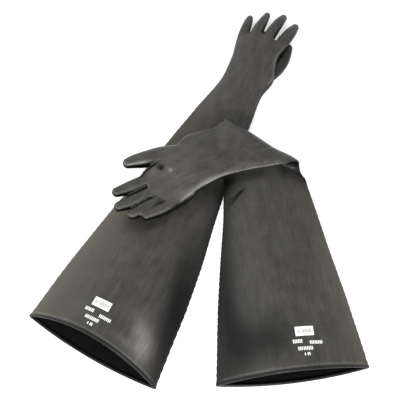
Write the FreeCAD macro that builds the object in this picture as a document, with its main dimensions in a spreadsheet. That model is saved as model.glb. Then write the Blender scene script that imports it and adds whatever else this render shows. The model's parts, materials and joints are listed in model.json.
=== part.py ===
"""A pair of long rubber insulating gloves, one folded across the other.

Units are millimetres, Z is up and the gloves lie on Z = 0. Each glove has its own
frame: X across the glove, Y from the cuff towards the fingers, Z from the palm
side to the back of the hand. The right glove is folded over, so its hand frame
is turned palm up.
"""
import FreeCAD, Part
import math
import os

from FreeCAD import Placement, Rotation, Vector

# name: (value, meaning)
VALUES = {
    "wall": (0.8, "rubber wall thickness"),
    "bead_proud": (2.6, "how far the cuff bead stands out of the sleeve"),
    "bead_wide": (6.0, "cuff bead size along the sleeve"),
    "bead_thick": (4.4, "cuff bead section across the wall"),
    "bead_side": (6.5, "straight side of the bead section"),
    "bead_draft": (0.155, "taper of the sleeve per mm of length"),
    "cone_apex": (916.0, "distance from the cuff line to the point the sleeve tapers to"),
    "rim_radius": (927.0, "radius of the cuff rim seen from above, about the taper point"),
    "rim_reach": (90.0, "size of the cut that shapes the rim"),
    "sole_trim": (0.05, "skimmed off the underside so that it is truly flat"),
    "sole_end": (250.0, "the underside lies flat this far from the cuff line"),
    "front_wall": (1.2, "web between the fingers"),
    "finger_gap": (0.3, "running gap at each finger root"),
    "hole_rim": (1.6, "finger hole is this much smaller than the stall radius"),
    "print_lift": (0.05, "printed mark starts this far above the rubber"),
    "print_thick": (0.45, "thickness of a printed mark"),
    "fold_half": (93.0, "half width of the sleeve at its fold"),
    "fold_rise": (18.0, "height of the flattened sleeve at its fold"),
    "fold_side": (3.0, "straight side of the section at the fold"),
    "fold_inner": (4.0, "gap from the fold line to the sleeve"),
    "fold_level": (38.0, "height of the fold line"),
    "palm_level": (78.0, "height of the right palm"),
}

# Sections: station: (along, centre, half width, base, rise, side)
SECTIONS = {
    "left_sleeve": [
        (-22.0, 0.0, 145.4, 0.0, 80.0, 2.0),
        (150.0, 0.0, 118.8, 0.0, 58.0, 2.0),
        (250.0, 0.0, 103.3, 0.0, 43.0, 2.0),
        (330.0, 0.0, 90.9, 0.0, 35.0, 2.0),
        (410.0, 0.0, 78.5, 0.0, 14.0, 2.0),
        (540.0, -1.0, 57.5, 0.0, 13.0, 3.0),
        (600.0, -0.5, 49.0, 0.0, 28.0, 5.0),
    ],
    "left_wrist": [
        (600.0, -0.5, 49.0, 0.0, 28.0, 5.0),
        (636.0, 0.0, 44.0, 0.0, 34.0, 9.0),
    ],
    "left_hand": [
        (636.0, 0.0, 44.0, 0.0, 34.0, 9.0),
        (660.0, 7.0, 53.0, 0.0, 38.0, 13.0),
        (684.0, 5.5, 54.5, 0.0, 43.0, 14.0),
        (695.0, -4.5, 48.0, 0.0, 45.0, 14.0),
        (712.0, -5.0, 50.0, 0.0, 45.0, 14.0),
        (736.0, -7.0, 53.0, 0.0, 38.0, 14.0),
    ],
    "right_sleeve": [
        (-22.0, 0.0, 147.4, 0.0, 68.0, 2.0),
        (150.0, 0.0, 121.0, 0.0, 54.0, 2.0),
        (250.0, 0.0, 106.5, 0.0, 38.0, 2.0),
        (320.0, 0.0, 95.0, 7.0, 24.0, 2.0),
    ],
    "right_forearm": [
        (-22.0, -13.0, 49.0, 8.0, 32.0, 8.0),
    ],
    "right_wrist": [
        (-22.0, -13.0, 49.0, 8.0, 32.0, 8.0),
        (14.0, -12.0, 48.5, 4.0, 35.0, 9.0),
    ],
    "right_hand": [
        (14.0, -12.0, 48.5, 4.0, 35.0, 9.0),
        (46.0, -13.0, 56.0, 2.0, 37.0, 13.0),
        (76.0, -13.0, 58.5, 1.0, 39.0, 14.0),
        (88.0, 2.5, 46.0, 0.5, 39.0, 14.0),
        (100.0, 5.0, 47.0, 0.0, 39.0, 14.0),
        (114.0, 7.5, 49.5, 0.0, 38.0, 14.0),
    ],
}

# Stalls: root across, root along, root height, tip across, tip along, tip height,
# root radius, tip radius
STALLS = {
    "left_index_finger": (31.0, 736.0, 20.0, 36.0, 786.5, 11.2, 12.8, 10.5),
    "left_middle_finger": (3.0, 736.0, 20.5, 5.0, 792.5, 11.2, 12.8, 10.5),
    "left_ring_finger": (-25.0, 736.0, 20.0, -27.0, 781.5, 11.2, 12.8, 10.5),
    "left_little_finger": (-49.5, 736.0, 15.0, -56.0, 761.5, 10.2, 11.2, 9.5),
    "left_thumb": (47.5, 686.0, 12.8, 49.0, 724.0, 11.2, 12.4, 10.5),
    "right_index_finger": (-30.0, 114.0, 20.0, -29.0, 177.5, 10.0, 12.2, 10.3),
    "right_middle_finger": (-4.8, 114.0, 20.5, 0.0, 189.5, 9.0, 12.2, 10.3),
    "right_ring_finger": (20.4, 114.0, 20.0, 28.0, 175.5, 9.0, 12.2, 10.3),
    "right_little_finger": (44.2, 114.0, 15.0, 48.5, 154.0, 8.0, 11.0, 9.5),
    "right_thumb": (-58.5, 78.0, 14.5, -65.0, 130.5, 12.0, 12.6, 10.5),
}

# Printed marks: (along, across, length along, width across)
MARKS = {
    "left_print": [
        (63.0, -34.0, 18.5, 35.0),
        (50.5, -41.0, 3.4, 18.0),
        (50.5, -10.0, 3.4, 24.0),
        (35.5, -33.0, 3.4, 30.0),
        (25.0, -23.0, 3.0, 12.0),
    ],
    "right_print": [
        (63.5, 11.5, 19.0, 35.0),
        (52.0, 5.0, 3.4, 18.0),
        (52.0, 36.0, 3.4, 24.0),
        (37.5, 14.5, 3.4, 29.0),
        (25.0, 24.0, 3.0, 13.0),
    ],
}

# Where each glove frame stands: x, y, turn about Z in degrees
GLOVES = {
    "left": (-201.4, -307.9, -27.44),
    "right": (174.2, -361.3, 7.1),
    "fold": (100.9, 100.1, -33.7),
    "hand": (11.0, 56.0, 117.59),
}

WORDS = ["along", "centre", "half", "base", "rise", "side"]
STALL_WORDS = [
    "root_x", "root_y", "root_z", "tip_x", "tip_y", "tip_z", "root_r", "tip_r",
]


def fill_sheet(doc):
    sheet = doc.addObject("Spreadsheet::Sheet", "Dimensions")
    table = [(name, value, note) for name, (value, note) in VALUES.items()]
    for node, stations in SECTIONS.items():
        for number, station in enumerate(stations):
            for word, value in zip(WORDS, station):
                table.append((section_name(node, number, word), value, node))
    for node, numbers in STALLS.items():
        for word, value in zip(STALL_WORDS, numbers):
            table.append((f"{node}_{word}", value, node))
    for row, (name, value, note) in enumerate(table, start=1):
        sheet.set(f"A{row}", note)
        sheet.set(f"B{row}", str(value))
        sheet.setAlias(f"B{row}", name)
    doc.recompute()
    return sheet


def section_name(node, number, word):
    return f"{node}_{'abcdefgh'[number]}_{word}"


def number_of(name):
    return VALUES[name][0]


def glove_frame(name):
    """Place of a glove frame; the hand frame of the right glove is palm up."""
    x, y, turn = GLOVES[name]
    if name == "fold":
        return Placement(Vector(x, y, number_of("fold_level")), Rotation(Vector(0, 0, 1), turn))
    if name == "hand":
        upside_down = Rotation(Vector(0, 0, 1), turn).multiply(Rotation(Vector(0, 1, 0), 180))
        return Placement(Vector(x, y, number_of("palm_level")), upside_down)
    return Placement(Vector(x, y, 0), Rotation(Vector(0, 0, 1), turn))


def arch(body, name, size, place):
    """Arch section sketch: flat base, short sides and a round top."""
    half, base, rise, side, skin = size
    sketch = body.newObject("Sketcher::SketchObject", name)
    sketch.Placement = place
    top = f"({rise} - ({side}))"
    radius = f"((({half})^2 + {top}^2) / (2 * {top}))"
    inner_half = f"({half} - ({skin}))"
    inner_radius = f"({radius} - ({skin}))"
    spring = f"({rise} - {radius} + sqrt({inner_radius}^2 - {inner_half}^2))"
    sketch.addGeometry(Part.LineSegment(Vector(-10, 0, 0), Vector(10, 0, 0)), False)
    sketch.addGeometry(Part.LineSegment(Vector(10, 0, 0), Vector(10, 3, 0)), False)
    top_arc = Part.Arc(Vector(10, 3, 0), Vector(0, 8, 0), Vector(-10, 3, 0))
    sketch.addGeometry(top_arc, False)
    sketch.addGeometry(Part.LineSegment(Vector(-10, 3, 0), Vector(-10, 0, 0)), False)
    for first, first_end, second, second_end in [(0, 2, 1, 1), (1, 2, 2, 1), (2, 2, 3, 1), (3, 2, 0, 1)]:
        sketch.addConstraint(constraint("Coincident", first, first_end, second, second_end))
    sketch.addConstraint(constraint("Vertical", 1))
    sketch.addConstraint(constraint("Vertical", 3))
    bind(sketch, ("DistanceX", -1, 1, 0, 2, 10.0), inner_half)
    bind(sketch, ("DistanceX", 0, 1, -1, 1, 10.0), inner_half)
    bind(sketch, ("DistanceY", -1, 1, 0, 2, 0.0), f"{base} + {skin}")
    bind(sketch, ("DistanceY", -1, 1, 0, 1, 0.0), f"{base} + {skin}")
    bind(sketch, ("DistanceY", -1, 1, 1, 2, 3.0), f"{base} + {spring}")
    bind(sketch, ("DistanceY", -1, 1, 3, 1, 3.0), f"{base} + {spring}")
    bind(sketch, ("Radius", 2, 12.5), inner_radius)
    return sketch


def constraint(*words):
    import Sketcher
    return Sketcher.Constraint(*words)


def bind(sketch, words, expression):
    index = sketch.addConstraint(constraint(*words))
    sketch.setExpression(f"Constraints[{index}]", expression)


def cell(node, number, word):
    return f"Dimensions.{section_name(node, number, word)}"


def across(along, centre):
    """Plane across the glove at a distance along it."""
    return Placement(Vector(centre, along, 0), Rotation(Vector(1, 0, 0), 90))


def section_sketches(body, node, skin, numbers, grow="0", stop_short=0.0):
    sketches = []
    stations = SECTIONS[node]
    for number in numbers:
        along, centre = stations[number][0], stations[number][1]
        if number == numbers[-1]:
            along = along - stop_short
        size = (
            f"({cell(node, number, 'half')} + {grow})",
            cell(node, number, "base"),
            f"({cell(node, number, 'rise')} + {grow})",
            cell(node, number, "side"),
            skin,
        )
        sketches.append(arch(body, f"{node}_{len(body.Group)}", size, across(along, centre)))
        centre_word = f"{cell(node, number, 'centre')}"
        sketches[-1].setExpression(".Placement.Base.x", centre_word)
    return sketches


def loft(body, kind, name, sketches):
    feature = body.newObject(f"PartDesign::{kind}", name)
    feature.Profile = sketches[0]
    feature.Sections = sketches[1:]
    feature.Ruled = True
    return feature


def shell(doc, node, extra=None, closed_by=0.0):
    """Hollow loft through the sections of one node, with an optional last section."""
    body = doc.addObject("PartDesign::Body", node)
    numbers = list(range(len(SECTIONS[node])))
    outer = section_sketches(body, node, "0", numbers)
    inner = section_sketches(body, node, "Dimensions.wall", numbers, "0", closed_by)
    if extra:
        half, base, rise, side, place = extra
        outer.append(arch(body, f"{node}_outer_end", (half, base, rise, side, "0"), place))
        inner.append(arch(body, f"{node}_inner_end", (half, base, rise, side, "Dimensions.wall"), place))
    loft(body, "AdditiveLoft", f"{node}_skin", outer)
    loft(body, "SubtractiveLoft", f"{node}_hollow", inner)
    return body


def rim_cut(body, node, inside, outside):
    """Rings about the taper point are cut away to leave a rim that bulges outwards."""
    sketch = body.newObject("Sketcher::SketchObject", f"{node}_rim")
    radii = [inside] if inside else []
    radii += [outside, f"{outside} + Dimensions.rim_reach"]
    for number, radius in enumerate(radii):
        sketch.addGeometry(Part.Circle(Vector(0, 900, 0), Vector(0, 0, 1), 900.0 + 10 * number), False)
        bind(sketch, ("DistanceY", -1, 1, number, 3, 900.0), "Dimensions.cone_apex")
        sketch.addConstraint(constraint("PointOnObject", number, 3, -2))
        bind(sketch, ("Radius", number, 900.0 + 10 * number), radius)
    pocket = body.newObject("PartDesign::Pocket", f"{node}_rim_cut")
    pocket.Profile = sketch
    pocket.Type = "ThroughAll"
    pocket.Midplane = True
    return pocket


def flat_underside(body, node):
    """Skims the resting side of a sleeve to a plane."""
    trim = body.newObject("PartDesign::SubtractiveBox", f"{node}_sole")
    reach = number_of("rim_reach")
    trim.Placement.Base = Vector(-2 * reach, -reach, -reach + number_of("sole_trim"))
    trim.setExpression("Length", "Dimensions.rim_reach * 4")
    trim.setExpression("Width", "Dimensions.rim_reach + Dimensions.sole_end")
    trim.setExpression("Height", "Dimensions.rim_reach")
    return trim


def bead(doc, node, sleeve):
    """Rolled bead that stiffens the mouth of the cuff."""
    body = doc.addObject("PartDesign::Body", node)
    half = cell(sleeve, 0, "half")
    rise = cell(sleeve, 0, "rise")
    start = SECTIONS[sleeve][0][0]
    length = 46.0
    sketches = []
    for skin in ["0", "Dimensions.bead_thick"]:
        pair = []
        for step in [0.0, length]:
            size = (
                f"({half} + Dimensions.bead_proud - Dimensions.bead_draft * {step})",
                "0",
                f"({rise} + Dimensions.bead_proud - Dimensions.bead_draft * {step})",
                "Dimensions.bead_side",
                skin,
            )
            pair.append(arch(body, f"{node}_{len(body.Group)}", size, across(start + step, 0)))
        sketches.append(pair)
    loft(body, "AdditiveLoft", f"{node}_ring", sketches[0])
    loft(body, "SubtractiveLoft", f"{node}_mouth", sketches[1])
    rim_cut(body, node, "Dimensions.rim_radius", "Dimensions.rim_radius + Dimensions.bead_wide")
    return body


def stall_place(node):
    """Frame of a stall: Z runs from the root to the centre of the tip."""
    root_x, root_y, root_z, tip_x, tip_y, tip_z = STALLS[node][:6]
    root = Vector(root_x, root_y, root_z)
    tip = Vector(tip_x, tip_y, tip_z)
    return Placement(root, Rotation(Vector(0, 0, 1), tip - root)), (tip - root).Length


def stall_length(node):
    names = [f"Dimensions.{node}_{word}" for word in STALL_WORDS[:6]]
    pairs = zip(names[3:], names[:3])
    return "sqrt(" + " + ".join(f"({tip} - {root})^2" for tip, root in pairs) + ")"


def round_stall(body, kind, name, node, skin, back, place):
    """Tapered tube with a dome; back is how far it runs behind the root."""
    length = stall_length(node)
    root_r = f"Dimensions.{node}_root_r"
    tip_r = f"Dimensions.{node}_tip_r"
    slope = f"(({root_r} - {tip_r}) / {length})"
    tube = body.newObject(f"PartDesign::{kind}Cone", f"{name}_tube")
    tube.Placement = place.multiply(Placement(Vector(0, 0, -back), Rotation()))
    tube.setExpression("Radius1", f"{root_r} + {slope} * {back} + ({skin})")
    tube.setExpression("Radius2", f"{tip_r} + ({skin})")
    tube.setExpression("Height", f"{length} + {back}")
    dome = body.newObject(f"PartDesign::{kind}Sphere", f"{name}_dome")
    dome.setExpression("Radius", f"{tip_r} + ({skin})")
    dome.Placement = place.multiply(Placement(Vector(0, 0, stall_place(node)[1]), Rotation()))


def finger(doc, node, front):
    """Finger stall, its root cut square to the hand so that it closes the web."""
    place = stall_place(node)[0]
    body = doc.addObject("PartDesign::Body", node)
    back = 6.0 if front else 0.0
    round_stall(body, "Additive", node, node, "0", back, Placement())
    round_stall(body, "Subtractive", f"{node}_hollow", node, "-Dimensions.wall", back, Placement())
    if front:
        cut = body.newObject("PartDesign::SubtractiveBox", f"{node}_root_cut")
        cut.Length = 60
        cut.Width = 20
        cut.Height = 60
        corner = STALLS[node]
        low = Vector(corner[0] - 30, corner[1] - 20 + number_of("finger_gap"), corner[2] - 30)
        cut.Placement = place.inverse().multiply(Placement(low, Rotation()))
    return body


def hand(doc, side):
    """Palm and back of the hand, with a hole for each finger and a thumb notch."""
    node = f"{side}_hand"
    body = shell(doc, node, None, number_of("front_wall"))
    front = SECTIONS[node][-1][0]
    sketch = body.newObject("Sketcher::SketchObject", f"{node}_holes")
    sketch.Placement = Placement(Vector(0, front, 0), Rotation(Vector(1, 0, 0), 90))
    for number, name in enumerate(["index", "middle", "ring", "little"]):
        stall = f"{side}_{name}_finger"
        x, _, z = STALLS[stall][:3]
        sketch.addGeometry(Part.Circle(Vector(x, z, 0), Vector(0, 0, 1), 9.0), False)
        if x < 0:
            bind(sketch, ("DistanceX", number, 3, -1, 1, -x), f"-Dimensions.{stall}_root_x")
        else:
            bind(sketch, ("DistanceX", -1, 1, number, 3, x), f"Dimensions.{stall}_root_x")
        bind(sketch, ("DistanceY", -1, 1, number, 3, z), f"Dimensions.{stall}_root_z")
        bind(sketch, ("Radius", number, 9.0), f"Dimensions.{stall}_root_r - Dimensions.hole_rim")
    holes = body.newObject("PartDesign::Pocket", f"{node}_finger_holes")
    holes.Profile = sketch
    holes.Type = "Length"
    holes.Length = 4
    holes.Midplane = True
    thumb = f"{side}_thumb"
    round_stall(body, "Subtractive", f"{node}_notch", thumb, "Dimensions.finger_gap * 2", 0.4, stall_place(thumb)[0])
    return body


def printed_marks(doc, node, sleeve):
    """Plain bars and a block that follow the curve of the sleeve."""
    skin = doc.addObject("PartDesign::Body", f"{node}_film")
    lift = "Dimensions.print_lift"
    outer = section_sketches(skin, sleeve, "0", [0, 1], f"{lift} + Dimensions.print_thick")
    inner = section_sketches(skin, sleeve, "0", [0, 1], lift)
    loft(skin, "AdditiveLoft", f"{node}_film_outer", outer)
    loft(skin, "SubtractiveLoft", f"{node}_film_inner", inner)
    boxes = []
    for number, (along, left, length, width) in enumerate(MARKS[node]):
        block = doc.addObject("Part::Box", f"{node}_mark_{number}")
        block.Length = width
        block.Width = length
        block.Height = 60
        block.Placement.Base = Vector(left, along, 40)
        boxes.append(block)
    marks = doc.addObject("Part::MultiFuse", f"{node}_marks")
    marks.Shapes = boxes
    common = doc.addObject("Part::Common", node)
    common.Base = skin
    common.Tool = marks
    return common


def fold_plane(frame, upper):
    """Plane of the fold seen from another frame, with the arch turned to suit."""
    turn = Rotation(Vector(1, 0, 0), -90 if upper else 90)
    return glove_frame(frame).inverse().multiply(glove_frame("fold")).multiply(Placement(Vector(), turn))


def fold_section(upper, frame):
    base = "-(Dimensions.fold_inner + Dimensions.fold_rise)"
    return (
        "Dimensions.fold_half", base, "Dimensions.fold_rise", "Dimensions.fold_side",
        fold_plane(frame, upper),
    )


def fold(doc):
    """Half turn of flattened sleeve that joins the lower layer to the upper one."""
    node = "right_sleeve_fold"
    body = doc.addObject("PartDesign::Body", node)
    plane = Placement(Vector(), Rotation(Vector(1, 0, 0), 90))
    for kind, skin in [("Revolution", "0"), ("Groove", "Dimensions.wall")]:
        half, base, rise, side, _ = fold_section(False, "fold")
        sketch = arch(body, f"{node}_{kind}_section", (half, base, rise, side, skin), plane)
        turned = body.newObject(f"PartDesign::{kind}", f"{node}_{kind}")
        turned.Profile = sketch
        turned.ReferenceAxis = (sketch, ["H_Axis"])
        turned.Angle = 180
        turned.Reversed = False
    return body


def build(doc):
    left = glove_frame("left")
    right = glove_frame("right")
    turned = glove_frame("fold")
    palm_up = glove_frame("hand")
    parts = {}

    for side, frame in [("left", left), ("right", right)]:
        sleeve = f"{side}_sleeve"
        end = fold_section(False, "right") if side == "right" else None
        parts[f"{side}_cuff_bead"] = (bead(doc, f"{side}_cuff_bead", sleeve), frame)
        parts[sleeve] = (shell(doc, sleeve, end), frame)
        rim_cut(parts[sleeve][0], sleeve, None, "Dimensions.rim_radius")
        flat_underside(parts[sleeve][0], sleeve)
        parts[f"{side}_print"] = (printed_marks(doc, f"{side}_print", sleeve), frame)

    parts["right_sleeve_fold"] = (fold(doc), turned)
    parts["right_forearm"] = (shell(doc, "right_forearm", fold_section(True, "hand")), palm_up)
    for side, frame in [("left", left), ("right", palm_up)]:
        parts[f"{side}_wrist"] = (shell(doc, f"{side}_wrist"), frame)
        parts[f"{side}_hand"] = (hand(doc, side), frame)
        parts[f"{side}_thumb"] = (finger(doc, f"{side}_thumb", False), frame)
        for name in ["index", "middle", "ring", "little"]:
            node = f"{side}_{name}_finger"
            parts[node] = (finger(doc, node, True), frame)
    return parts


def place_parts(doc, parts):
    """Put each part in its glove frame, then move all so the base centre is the origin."""
    for node, (item, frame) in parts.items():
        place = frame
        if node in STALLS:
            place = frame.multiply(stall_place(node)[0])
        item.Placement = place
    doc.recompute()
    box = FreeCAD.BoundBox()
    for item, _ in parts.values():
        box.add(item.Shape.optimalBoundingBox(False))
    shift = Vector(-box.Center.x, -box.Center.y, -box.ZMin)
    print("shift", shift)
    for item, _ in parts.values():
        item.Placement = Placement(shift, Rotation()).multiply(item.Placement)
        item.Label = item.Name
    doc.recompute()


def check(doc, parts):
    for item in doc.Objects:
        for word in item.State:
            if word in ("Invalid", "Error"):
                raise RuntimeError(f"{item.Name} did not compute: {item.State}")
    for node, (item, _) in parts.items():
        if item.Shape.isNull() or not item.Shape.isValid():
            raise RuntimeError(f"{node} has no valid shape")


def main():
    doc = FreeCAD.newDocument("insulating_gloves")
    fill_sheet(doc)
    parts = build(doc)
    place_parts(doc, parts)
    check(doc, parts)
    os.makedirs("parts", exist_ok=True)
    for node, (item, _) in parts.items():
        item.Shape.exportStep(f"parts/{node}.step")
        box = item.Shape.optimalBoundingBox(False)
        print(f"{node:22s} solids {len(item.Shape.Solids)} volume {item.Shape.Volume:9.0f}", box)


main()
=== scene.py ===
import json
import math

import bmesh
import bpy
import numpy as np
from mathutils import Matrix, Vector
from mathutils.bvhtree import BVHTree


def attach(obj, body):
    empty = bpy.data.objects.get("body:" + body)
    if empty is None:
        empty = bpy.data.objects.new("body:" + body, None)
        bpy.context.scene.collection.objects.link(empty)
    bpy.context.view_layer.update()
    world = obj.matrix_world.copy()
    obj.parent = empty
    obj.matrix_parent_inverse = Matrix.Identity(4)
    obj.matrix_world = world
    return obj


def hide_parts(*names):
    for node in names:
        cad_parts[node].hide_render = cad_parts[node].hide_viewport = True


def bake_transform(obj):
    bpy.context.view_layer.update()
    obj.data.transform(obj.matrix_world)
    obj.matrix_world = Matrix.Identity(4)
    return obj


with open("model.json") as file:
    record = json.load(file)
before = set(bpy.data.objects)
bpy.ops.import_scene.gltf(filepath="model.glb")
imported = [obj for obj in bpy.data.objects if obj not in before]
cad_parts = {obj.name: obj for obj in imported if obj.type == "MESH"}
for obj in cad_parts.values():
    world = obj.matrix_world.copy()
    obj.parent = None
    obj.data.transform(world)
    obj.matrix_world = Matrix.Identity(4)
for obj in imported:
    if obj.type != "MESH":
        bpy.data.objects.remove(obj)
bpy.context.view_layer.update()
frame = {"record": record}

MM = 0.001

# Shape of the pair, in millimetres. In a glove's own frame X runs towards the
# thumb, Y from the cuff line to the fingers and Z from the palm to the back.
APEX = 916.0  # from the cuff line to the point that the sleeve tapers to
RIM = {"left": 927.5, "right": 921.5}  # radius of the cuff rim about that point
RIM_TILT = {"left": 0.055, "right": 0.0}  # turn of the rim across the glove
RIM_LEAN = {"left": 0.28, "right": 0.09}  # how far the rim leans back with height
BEAD = 3.2  # radius of the rolled bead
BEAD_SIDES = 14
BEAD_POINTS = 220  # points along the bead
BEAD_OUT = 1.5  # how far the bead's middle lies outside the rim
BEAD_SINK = 0.2  # how far the bead is pressed into the floor
VOXEL = 2.0  # grain of the remeshed skins
THUMB_VOXEL = 1.6
WALL = 0.9  # depth of the lining under the skin
RING = 96  # points round a section
SECTION_STEP = 5.0
SLEEVE_HALF = 142.0  # half width of the sleeve at the cuff line
SLEEVE_TAPER = 0.155  # loss of half width per millimetre along

# along, centre, half width, height of the widest line, top, exponent of the top, underside
LEFT_SECTIONS = [
    (-60, -2, 149.0, 2.0, 83.0, 1.9, 0),
    (0, -2.2, 140.0, 2.0, 77.0, 1.9, 0),
    (50, -2.6, 134.4, 2.0, 70.0, 1.9, 0),
    (100, -2.9, 129.0, 2.0, 64.0, 1.85, 0),
    (150, -2.3, 123.2, 2.0, 57.5, 1.8, 0),
    (250, -2.7, 107.6, 2.5, 43.0, 1.7, 0),
    (330, -4.5, 92.5, 3.0, 31.0, 1.7, 0),
    (410, -5.5, 79.0, 3.0, 14.0, 1.5, 0),
    (480, -4.5, 69.0, 3.0, 12.5, 1.4, 0),
    (540, -3.5, 59.0, 3.5, 13.5, 1.4, 0),
    (590, -1.0, 49.5, 6.0, 25.0, 1.2, 0),
    (622, 0.5, 43.5, 11.0, 33.0, 1.0, 0),
    (655, 5.5, 51.0, 17.0, 37.0, 0.75, 0),
    (685, -3.0, 46.5, 18.0, 41.0, 0.6, 0),
    (706, -7.0, 46.0, 18.0, 42.0, 0.55, 2),
    (724, -2.0, 45.0, 18.0, 41.0, 0.65, 5),
    (737, 4.0, 37.0, 18.0, 36.0, 0.8, 9),
]
RIGHT_SECTIONS = [
    (-60, 0, 155.0, 2.0, 71.0, 1.9, 0),
    (0, -0.3, 146.0, 2.0, 65.0, 1.9, 0),
    (50, -0.8, 139.0, 2.0, 61.0, 1.9, 0),
    (100, -0.6, 131.6, 2.0, 57.0, 1.85, 0),
    (150, -0.7, 124.2, 2.0, 53.0, 1.8, 0),
    (250, -1.0, 106.5, 2.5, 37.0, 1.7, 0),
    (330, -3.0, 92.4, 3.0, 22.0, 1.6, 0),
    (400, -2.5, 81.5, 3.0, 17.0, 1.5, 0),
    (520, 0, 70.0, 4.0, 16.0, 1.4, 0),
    (590, 4.5, 52.5, 8.0, 25.0, 1.2, 0),
    (618, 7.0, 50.0, 10.0, 31.0, 1.1, 0),
    (650, 12.0, 56.0, 13.0, 36.0, 0.9, 0),
    (690, -0.5, 48.5, 15.0, 38.0, 0.75, 0),
    (715, -6.5, 50.0, 16.0, 37.0, 0.6, 1),
    (736, -7.0, 47.0, 17.0, 34.0, 0.6, 3),
    (750, 3.0, 38.0, 17.0, 31.0, 0.65, 5),
    (764, 7.0, 24.0, 17.0, 28.0, 0.7, 7),
]

# Chains of round joints (across, along, height, radius)
LEFT_CHAINS = {
    "index_finger": [
        (26, 700, 24, 13.0), (31.6, 740, 25.5, 13.2), (34.6, 768, 20, 12.0), (36.6, 790, 12, 8.2),
    ],
    "middle_finger": [
        (1, 704, 27, 13.0), (2.4, 744, 29.5, 12.2), (3.8, 778, 22, 10.6), (5.6, 799, 13, 7.6),
    ],
    "ring_finger": [
        (-22, 702, 26, 13.0), (-24.6, 740, 28, 12.0), (-26, 767, 21, 10.0), (-27, 789, 12, 7.0),
    ],
    "little_finger": [
        (-34, 660, 18, 10.0), (-41.0, 694, 20, 11.6), (-47.6, 722, 20, 11.4),
        (-51.2, 742, 18, 10.2), (-54.0, 757, 14, 8.8), (-55.8, 768, 10, 6.8),
    ],
}
LEFT_THUMB = [
    (40, 664, 12, 11.5), (47, 690, 12, 12.8), (49, 714, 11.5, 11.8),
    (46.5, 736, 10.5, 9.2), (45.5, 743, 10, 7.8),
]
RIGHT_CHAINS = {
    "thumb": [
        (34, 650, 23, 19), (45, 682, 23, 20.5), (56, 712, 21, 18.5),
        (61.5, 738, 18, 16.5), (65.5, 757, 15, 13.6), (67.5, 771, 13, 10.6),
    ],
    "index_finger": [
        (19, 716, 19, 12.8), (20.5, 757, 19, 13.0), (20.4, 793, 14, 12.8), (21.5, 818, 9, 10.0),
    ],
    "middle_finger": [
        (-4, 718, 20, 12.8), (-4.8, 763, 20, 13.0), (-7.6, 803, 15, 12.8), (-7.6, 828, 8, 10.0),
    ],
    "ring_finger": [
        (-24, 716, 20, 12.6), (-27.5, 753, 20, 12.6), (-31.8, 789, 15, 12.2), (-33.8, 812, 10, 9.8),
    ],
    "little_finger": [
        (-41, 690, 19, 12.6), (-46.2, 726, 19, 12.8), (-48.6, 757, 16, 12.2), (-48.4, 789, 10, 9.6),
    ],
}

# Where the skins are cut, along the glove: the two ends of the wrist piece, and each stall's start
LEFT_WRIST = (598, 638)
RIGHT_WRIST = (612, 650)
LEFT_STALLS = {"index_finger": 744, "middle_finger": 744, "ring_finger": 738, "little_finger": 737}
RIGHT_STALLS = {
    "thumb": 726, "index_finger": 770, "middle_finger": 766, "ring_finger": 764, "little_finger": 748,
}
RIGHT_WEB = 700  # from here on, the thumb keeps only the skin that lies nearest to it
LEFT_THUMB_START = 676
STALL_INSET = 3  # a stall's bend would start this far past its start
STALL_BEND = 22  # and run over this length
# Where the left wrist would bend, from one end to the other, in the left glove's frame
LEFT_WRIST_BEND = [(0, 602, 16), (0, 634, 16)]

# Printed marks on each cuff, from the near left corner of the white block seen from the cuff
BLOCK = (35.0, 18.6)
BLOCK_AT = {"left": (-34.0, 63.0), "right": (11.5, 63.5)}
# Rows of upright ticks under it: across, along, height, number of ticks
TICK, TICK_STEP = 2.0, 3.1
TICK_ROWS = [
    (-7.0, -13.6, 7.2, 6), (24.5, -17.1, 6.6, 4), (36.9, -17.4, 6.6, 4),
    (1.0, -28.2, 7.0, 3), (11.0, -28.4, 7.0, 6), (11.5, -38.6, 5.0, 1), (16.8, -39.0, 6.0, 2),
]
# The same, on the white block itself
BLOCK_TICK, BLOCK_TICK_STEP = 1.2, 2.8
BLOCK_TICKS = [(4.5, 5.0, 8.0, 2), (12.6, 5.4, 7.6, 7)]
# How far the marks stand off the skin, and the height from which rays place them
INK, INK_ON_INK = 0.30, 0.42
RAY_START = 90.0

# Painted highlights and painted shade on the rubber: across, along, reach across, reach along, slant,
# strength
LEFT_PAINTED_LIGHT = [
    (84, 46, 21, 34, -0.46, 2.8), (56, 30, 24, 9, 0.0, 0.7),
    (98, 150, 24, 110, -0.27, -0.87),
    (58, 385, 20, 26, 0.0, -0.6), (-32, 249, 30, 26, 0.0, -0.22),
    (47, 377, 16, 12, 0.0, 0.25), (-60, 250, 50, 110, 0.0, 0.12),
]
# Painted highlights and painted shade on the right glove's rubber, in the same columns
RIGHT_PAINTED_LIGHT = [
    (0, 700, 70, 60, 0.0, 0.45), (44, 68, 50, 42, 0.0, -0.8), (106, 130, 30, 180, 0.1, -0.9),
    (70, 400, 28, 20, 0.0, -0.75), (-93, 190, 22, 110, 0.12, 0.22),
    (60, 6, 60, 9, 0.0, 0.35), (-65, 291, 16, 50, 0.1, -0.12),
]
# A pinched crease beside the fold: its two ends across and along, its width and its depth
CREASE_ENDS = ((44.0, 381.0), (80.0, 352.0))
CREASE_WIDTH, CREASE_DEPTH = 4.5, 3.0
# Dents in the right palm: across, along, reach across, reach along, height
PALM_DENTS = [(28, 719, 7, 6, -6.0), (13, 707, 5, 5, 2.4), (20, 690, 9, 16, -1.0)]
# Painted shade in the deep dent and a painted highlight on the bump: across, along, reach, strength
PALM_LIGHT_AND_SHADE = [(28, 719, 6.5, -0.97), (12, 706, 4.0, 2.2)]


# ---------------------------------------------------------------- frames
RECORD = frame["record"]
MOUNTS = {m["name"]: m for m in RECORD["mounts"]}
JOINTS = {j["name"]: j for j in RECORD["behaviour"]["joints"]}


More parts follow.
